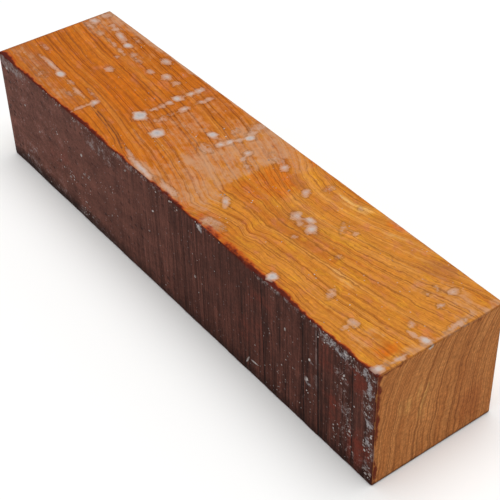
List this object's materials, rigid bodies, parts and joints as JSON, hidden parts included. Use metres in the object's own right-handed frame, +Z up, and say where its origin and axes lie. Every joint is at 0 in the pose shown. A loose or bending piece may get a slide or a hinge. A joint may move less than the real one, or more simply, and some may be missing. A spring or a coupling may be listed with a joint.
{
  "type": "wax-sealed wood turning billet",
  "caption": "Square hardwood blank sealed with wax for seasoning, with a rough-sawn side and a clean-cut end, to be turned or carved.",
  "frame": {"origin": "on the ground under the middle of the billet's box", "axes": "+X along the billet to its clean-cut end, +Y across to the side away from the rough-sawn one, +Z up from the face that it lies on"},
  "size_m": [0.305, 0.0699, 0.0663],
  "materials": {
    "billet": "orange-brown heartwood with dark growth lines under a thin, slightly glossy coat of wax; the sawn side is dark purple-brown",
    "wax": "dried paraffin wax, milky and slightly translucent"
  },
  "bodies": {
    "root": {"billet": "billet"}
  },
  "joints": []
}
